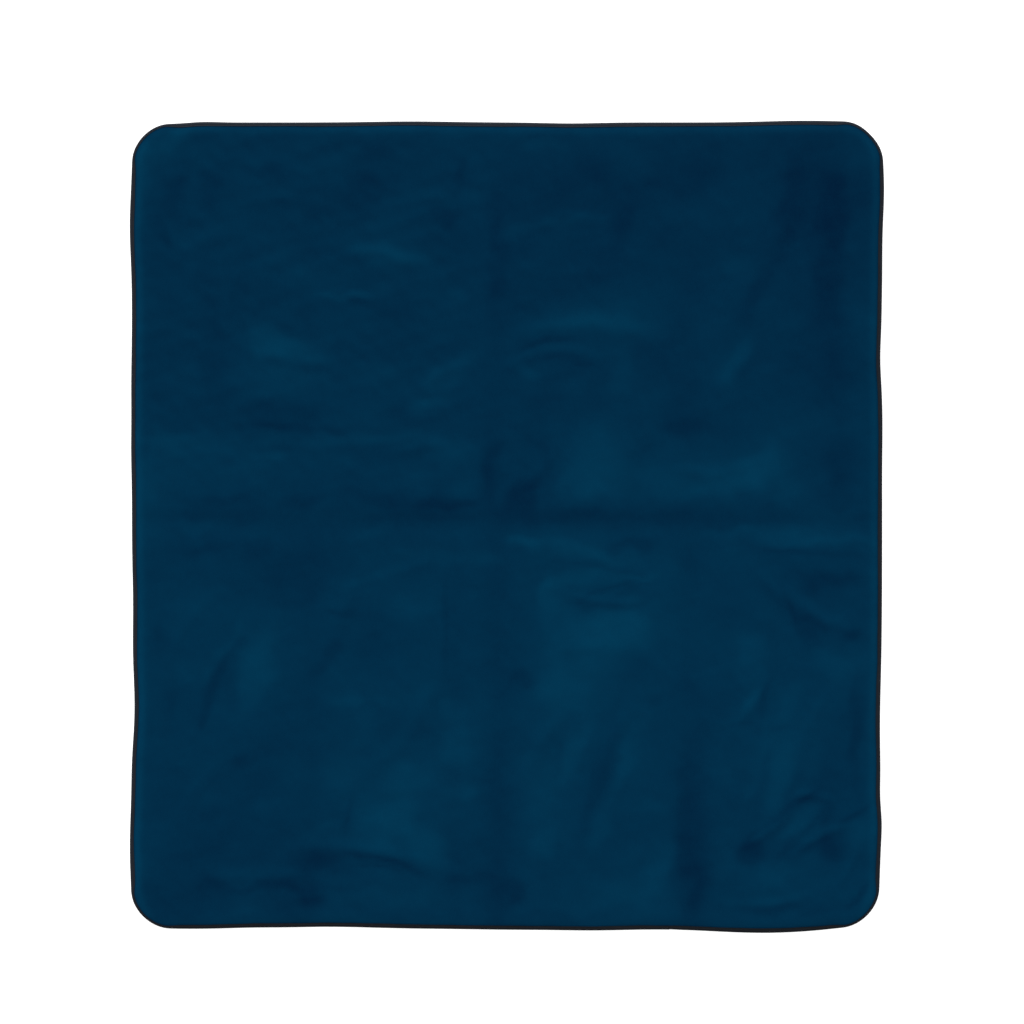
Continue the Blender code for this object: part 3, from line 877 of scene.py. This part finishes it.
def care_label_piece():
    """The care label: a satin strip sewn in by both its ends and folded over at its free end.

    Its middle line runs in from the seam, round a half circle and back, and sags a little below the
    backing; the strip is that line carried across its width and given a thickness.
    """
    low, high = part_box("care_label")
    steps = np.linspace(0, 1, 26)
    length = high.y - low.y - LABEL_GAP
    sag = LABEL_SAG * np.sin(math.pi * np.clip(steps * 1.35 - 0.35, 0, 1) * 0.5)
    upper_y = low.y + steps * length
    upper_z = high.z - 0.10 * MM - sag
    turn = np.linspace(math.pi / 2, -math.pi / 2, 7)[1:-1]
    end_y = upper_y[-1] + LABEL_GAP / 2 * np.cos(turn)
    end_z = upper_z[-1] - LABEL_GAP / 2 + LABEL_GAP / 2 * np.sin(turn)
    y = np.concatenate((upper_y, end_y, upper_y[::-1]))
    z = np.concatenate((upper_z, end_z, upper_z[::-1] - LABEL_GAP))
    outline_y, outline_z = thick_line(y, z, LABEL_THICKNESS / 2, LABEL_THICKNESS / 2, 1)
    across = np.linspace(low.x, high.x, 17)
    curl = 0.14 * MM * np.sin(across * 260) + 0.10 * MM * np.sin(across * 610 + 1.0)
    grid_x = np.broadcast_to(across[:, None], (len(across), len(outline_y)))
    grid_y = np.broadcast_to(outline_y[None, :], grid_x.shape)
    grid_z = outline_z[None, :] + curl[:, None] * ramp(grid_y, low.y + 0.01, high.y)
    lie_x, lie_y = laid(grid_x, grid_y)
    lie_z = grid_z + lift(grid_x, grid_y) * MM
    points = np.stack((lie_x, lie_y, lie_z), axis=-1)
    along = np.broadcast_to(walked(outline_y, outline_z), grid_x.shape)
    kept = np.stack((grid_x, along, grid_z), axis=-1)
    faces = tube_faces(len(across), len(outline_y))
    return new_piece("blank_care_label", points, faces, cloth=kept)


# ---- finishes

class Value:
    """A number in a finish. Arithmetic on it adds the Math nodes that work it out."""

    def __init__(self, finish, socket):
        self.finish = finish
        self.socket = socket

    def maths(self, operation, *values):
        made = self.finish.node("Math", {"operation": operation}, dict(enumerate(values)))
        return Value(self.finish, made.outputs[0])

    def __add__(self, other):
        return self.maths("ADD", self, other)

    def __sub__(self, other):
        return self.maths("SUBTRACT", self, other)

    def __mul__(self, other):
        return self.maths("MULTIPLY", self, other)

    def __pow__(self, other):
        return self.maths("POWER", self, other)

    __radd__ = __add__
    __rmul__ = __mul__

    def sine(self):
        return self.maths("SINE", self)

    def wave(self, pitch):
        """Ridges from 0 to 1, one every pitch: half of one plus the sine."""
        return (self * (2 * math.pi / pitch)).sine() * 0.5 + 0.5

    def size(self):
        return self.maths("ABSOLUTE", self)

    def smaller(self, other):
        return self.maths("MINIMUM", self, other)

    def larger(self, other):
        return self.maths("MAXIMUM", self, other)


class Finish:
    """A material: one Principled shader and the nodes that feed it."""

    def __init__(self, name, **constants):
        self.material = bpy.data.materials.new(name)
        self.material.use_nodes = True
        self.tree = self.material.node_tree
        self.shader = self.tree.nodes["Principled BSDF"]
        for socket, value in constants.items():
            self.shader.inputs[socket.replace("_", " ")].default_value = value

    def node(self, kind, settings=None, inputs=None):
        """Adds a node: its settings first, then what feeds its sockets, numbers or links."""
        made = self.tree.nodes.new("ShaderNode" + kind)
        for name, value in (settings or {}).items():
            setattr(made, name, value)
        for name, value in (inputs or {}).items():
            self.feed(made.inputs[name], value)
        return made

    def feed(self, socket, value):
        """Links a value or a socket to a socket, or sets a plain number or colour on it."""
        if isinstance(value, Value):
            value = value.socket
        if isinstance(value, bpy.types.NodeSocket):
            self.tree.links.new(value, socket)
        else:
            socket.default_value = value

    def kept(self, attribute):
        """A piece's own attribute: its vector and its number."""
        made = self.node("Attribute", {"attribute_name": attribute})
        return made.outputs["Vector"], Value(self, made.outputs["Fac"])

    def parts(self, vector):
        """A vector's three numbers."""
        made = self.node("SeparateXYZ", None, {0: vector})
        return [Value(self, output) for output in made.outputs]

    def joined(self, x, y, z):
        """A vector from three numbers."""
        return self.node("CombineXYZ", None, {0: x, 1: y, 2: z}).outputs[0]

    def noise(self, vector, scale, detail=2.0, roughness=0.5, distortion=0.0):
        """Soft noise from 0 to 1 at so many grains a metre."""
        inputs = {"Vector": vector, "Scale": scale, "Detail": detail,
                  "Roughness": roughness, "Distortion": distortion}
        return Value(self, self.node("TexNoise", None, inputs).outputs["Fac"])

    def cells(self, vector, scale, smoothness):
        """How far a point is from its cell's middle, in softened cells, so many to a metre."""
        inputs = {"Vector": vector, "Scale": scale, "Smoothness": smoothness}
        made = self.node("TexVoronoi", {"feature": "SMOOTH_F1"}, inputs)
        return Value(self, made.outputs["Distance"])

    def blend(self, share, first, second):
        """A colour between two, by a share from 0 to 1."""
        made = self.node("Mix", {"data_type": "RGBA"}, {"Factor": share})
        colours = [socket for socket in made.inputs if socket.type == "RGBA"]
        self.feed(colours[0], first)
        self.feed(colours[1], second)
        return next(socket for socket in made.outputs if socket.type == "RGBA")

    def relief(self, height, distance):
        """Bumps the surface by a height from 0 to 1 over a distance in metres."""
        made = self.node("Bump", None, {"Height": height, "Distance": distance, "Strength": 1.0})
        self.feed(self.shader.inputs["Normal"], made.outputs["Normal"])

    def colour(self, value):
        self.feed(self.shader.inputs["Base Color"], value)

    def roughness(self, value):
        self.feed(self.shader.inputs["Roughness"], value)


def fleece_finish():
    """Short brushed pile: deeper or brighter by the cloth's tone, which mixes the pile's lie with painted
    light and shade from slopes, creases and the rim.
    """
    pile = Finish("brushed_fleece", Roughness=0.95, Specular_IOR_Level=0.01, Sheen_Weight=0.15,
                  Sheen_Roughness=0.55, Sheen_Tint=(0.02, 0.30, 0.62, 1.0))
    cloth, _ = pile.kept("cloth")
    # The tone read here carries painted light and shade as well as the pile's lie.
    _, lean_and_light = pile.kept("nap")
    x, y, z = pile.parts(cloth)
    brushed = pile.joined(x, y * 0.55, z)
    clumps = pile.noise(cloth, 95, 3, 0.6, 0.4)
    tufts = pile.noise(brushed, 420, 3, 0.65, 1.6)
    hairs = pile.noise(brushed, 1900, 3, 0.7, 2.5)
    share = lean_and_light + (clumps - 0.5) * 0.12 + (tufts - 0.5) * 0.30 + (hairs - 0.5) * 0.34
    pile.colour(pile.blend(share, FLEECE_DEEP, FLEECE_BRIGHT))
    pile.relief(tufts * 0.8 + hairs * 0.5 + clumps * 0.4, 0.55 * MM)
    return pile.material


def tape_finish():
    """A charcoal woven tape: fine ribs across it, puckered beside the seam, its face worn a little paler at
    random and painted lighter on the far and left sides, towards the light, and darker on the near side.
    """
    tape = Finish("ribbed_tape", Specular_IOR_Level=0.10, Sheen_Weight=0.01,
                  Sheen_Roughness=0.5, Sheen_Tint=(0.6, 0.8, 1.0, 1.0))
    vector, _ = tape.kept("run")
    _, faded = tape.kept("faded")
    run, across, inset = tape.parts(vector)
    ribs = run.wave(RIB_PITCH)
    ends = across.wave(RIB_PITCH * 0.8)
    pull = run.wave(STITCH_PITCH)
    fuzz = tape.noise(tape.joined(run, across, inset), 900, 3, 0.6)
    wear = tape.noise(tape.joined(run, across, inset), 22, 2)
    # The painted light and shade on the tape's sides is mixed in with the ribs, fuzz and wear.
    share = (ribs * 0.20 + fuzz * 0.30 + wear * 0.20 + faded * 0.55).smaller(1.0).larger(0.0)
    tape.colour(tape.blend(share, TAPE_DEEP, TAPE_PALE))
    tape.roughness(0.40 + fuzz * 0.16)
    tape.relief(ribs * 0.30 + ends * 0.12 + pull * 0.55 + fuzz * 0.25, 0.22 * MM)
    return tape.material


def thread_finish(name):
    """Spun polyester thread: two plies twisted, shown as slanting ridges along it."""
    yarn = Finish(name, Specular_IOR_Level=0.18)
    vector, _ = yarn.kept("run")
    run, turn, _ = yarn.parts(vector)
    twist = (run * (2 * math.pi / TWIST_PITCH) + turn * 2.0).sine() * 0.5 + 0.5
    lint = yarn.noise(yarn.joined(run, turn * 0.0003, 0.0), 2600, 2, 0.6)
    yarn.colour(yarn.blend(twist * 0.55 + lint * 0.45, THREAD_DEEP, THREAD_PALE))
    yarn.roughness(0.55 + lint * 0.25)
    yarn.relief(twist * 0.8 + lint * 0.3, 0.08 * MM)
    return yarn.material


def weave(x, y, pitch):
    """A plain weave's height: over and under in turn, from the product of two sines."""
    number = 2 * math.pi / pitch
    return (x * number).sine() * (y * number).sine() * 0.5 + 0.5


def backing_finish():
    """Coated charcoal polyester: a fine plain weave with a heavier yarn every few millimetres.

    The fleece's tone presses through to it as bumps and also tints it, so it carries the fleece's painted
    light and shade.
    """
    coated = Finish("coated_backing", Specular_IOR_Level=0.22, Coat_Weight=0.03, Coat_Roughness=0.35)
    cloth, _ = coated.kept("cloth")
    # The backing reads the fleece's tone, painted light and shade included.
    _, pressed_and_painted_light = coated.kept("nap")
    x, y, _ = coated.parts(cloth)
    fine = weave(x, y, WEAVE_PITCH)
    rib_x = (x * (math.pi / RIPSTOP_PITCH)).sine().size() ** 24
    rib_y = (y * (math.pi / RIPSTOP_PITCH)).sine().size() ** 24
    ribs = rib_x.larger(rib_y)
    scuffs = coated.noise(cloth, 9, 5, 0.7, 0.6)
    grain = coated.noise(cloth, 1400, 2)
    # Real scuffs plus the fleece's painted light and shade, copied onto the backing's colour.
    scuffs_and_painted_light = (scuffs - 0.45) * 1.4 + (pressed_and_painted_light - 0.45) * 1.1
    share = (fine * 0.30 + ribs * 0.35 + grain * 0.15 + scuffs_and_painted_light).smaller(1.0).larger(0.0)
    coated.colour(coated.blend(share, BACKING_DEEP, BACKING_PALE))
    coated.roughness(0.42 + scuffs * 0.30)
    coated.relief(fine * 0.4 + ribs * 0.6 + scuffs * 0.5 + pressed_and_painted_light * 2.0, 0.16 * MM)
    return coated.material


def foam_finish():
    """Open-cell foam: pale, with small dark pores."""
    foam = Finish("open_cell_foam", Specular_IOR_Level=0.2)
    cloth, _ = foam.kept("cloth")
    pores = foam.cells(cloth, 900, 0.4)
    tone = foam.noise(cloth, 30, 3)
    foam.colour(foam.blend(pores * 0.7 + tone * 0.3, FOAM_DEEP, FOAM_PALE))
    foam.roughness(0.85 + tone * 0.1)
    foam.relief(pores, 0.35 * MM)
    return foam.material


def label_finish():
    """Off-white woven satin: long floats across it and a faint slub, with nothing printed on it."""
    satin = Finish("label_satin_weave", Specular_IOR_Level=0.5, Sheen_Weight=0.15, Sheen_Roughness=0.3)
    cloth, _ = satin.kept("cloth")
    x, y, _ = satin.parts(cloth)
    floats = y.wave(SATIN_PITCH)
    slub = satin.noise(satin.joined(x * 0.25, y, 0.0), 700, 3)
    tone = satin.noise(cloth, 60, 2)
    satin.colour(satin.blend(floats * 0.4 + slub * 0.4 + tone * 0.2, LABEL_DEEP, LABEL_PALE))
    satin.roughness(0.38 + slub * 0.25)
    satin.relief(floats * 0.5 + slub * 0.5, 0.06 * MM)
    return satin.material


# ---- assembly

def across_fold(piece, *nodes):
    """Bakes a piece's placement into its mesh and hides the CAD solids of the two halves that it stands for.
    """
    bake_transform(piece)
    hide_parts(*nodes)


def both(part):
    """The names of a part's far and near solids."""
    return f"far_{part}", f"near_{part}"


def dressed(piece, finish):
    """Gives a piece its finish."""
    piece.data.materials.append(finish)


def build_blanket():
    """Every piece of the blanket, from the ground up."""

    backing = layer_piece("backing_cloth", *UNDER_GRID, backing_top, backing_thickness)
    dressed(backing, backing_finish())
    across_fold(backing, *both("backing"))

    foam = layer_piece("foam_core", *UNDER_GRID, foam_top, foam_thickness)
    dressed(foam, foam_finish())
    across_fold(foam, *both("foam"))

    fleece = layer_piece("face_fleece", *FLEECE_GRID, fleece_top, fleece_thickness)
    dressed(fleece, fleece_finish())
    across_fold(fleece, *both("fleece"))

    binding = binding_piece()
    dressed(binding, tape_finish())
    across_fold(binding, *both("binding"))

    needle = stitch_tubes("needle_stitches", TAPE_TOP, 1)
    dressed(needle, thread_finish("needle_thread_yarn"))
    across_fold(needle, *both("needle_thread"))

    bobbin = stitch_tubes("bobbin_stitches", 0.0, -1)
    dressed(bobbin, thread_finish("bobbin_thread_yarn"))
    across_fold(bobbin, *both("bobbin_thread"))

    tack = bar_tack_piece()
    dressed(tack, thread_finish("tack_thread_yarn"))
    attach(tack, "near_half")
    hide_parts("bar_tack")

    label = care_label_piece()
    dressed(label, label_finish())
    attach(label, "near_half")
    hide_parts("care_label")

    PERIMETER + TAPE_LAP


def build_camera():
    """A camera straight above, far enough off that the blanket's sides don't show."""
    lens = bpy.data.cameras.new("overhead_camera")
    lens.sensor_width = 36
    lens.lens = 100
    lens.clip_end = 60
    camera = placed("overhead_camera", lens)
    camera.location = (*VIEW_MIDDLE, FLEECE_TOP + VIEW_WIDTH * lens.lens / lens.sensor_width)
    bpy.context.scene.camera = camera


def build_studio():
    """A plain white floor, a white sky, brighter at the horizon, and one broad soft light from beyond."""
    floor_mesh = bpy.data.meshes.new("studio_floor")
    corners = [(x * FLOOR_REACH, y * FLOOR_REACH, 0) for x, y in ((-1, -1), (1, -1), (1, 1), (-1, 1))]
    floor_mesh.from_pydata(corners, [], [(0, 1, 2, 3)])
    floor = placed("studio_floor", floor_mesh)
    paint = Finish("floor_paint", Base_Color=FLOOR_WHITE, Roughness=0.9, Specular_IOR_Level=0.1,
                   Emission_Color=(1, 1, 1, 1), Emission_Strength=FLOOR_GLOW)
    floor_mesh.materials.append(paint.material)

    world = bpy.data.worlds.new("studio_sky")
    world.use_nodes = True
    nodes, links = world.node_tree.nodes, world.node_tree.links
    sky = nodes["Background"]
    sky.inputs["Color"].default_value = (1.0, 1.0, 1.0, 1.0)
    places = nodes.new("ShaderNodeTexCoord")
    parts = nodes.new("ShaderNodeSeparateXYZ")
    fade = nodes.new("ShaderNodeMapRange")
    links.new(places.outputs["Generated"], parts.inputs[0])
    links.new(parts.outputs["Z"], fade.inputs["Value"])
    links.new(fade.outputs["Result"], sky.inputs["Strength"])
    fade.inputs["From Min"].default_value = HORIZON_FADE[0]
    fade.inputs["From Max"].default_value = HORIZON_FADE[1]
    fade.inputs["To Min"].default_value = 1.0
    fade.inputs["To Max"].default_value = SKY_STRENGTH
    bpy.context.scene.world = world

    sun = bpy.data.lights.new("broad_light", "SUN")
    sun.energy = KEY_STRENGTH
    sun.angle = math.radians(KEY_SPREAD)
    key = placed("broad_light", sun)
    key.rotation_euler = (math.radians(90 - KEY_ELEVATION), 0.0, math.radians(180 + KEY_TURN))
    bpy.context.scene.view_settings.view_transform = "Standard"


build_camera()
build_blanket()
build_studio()
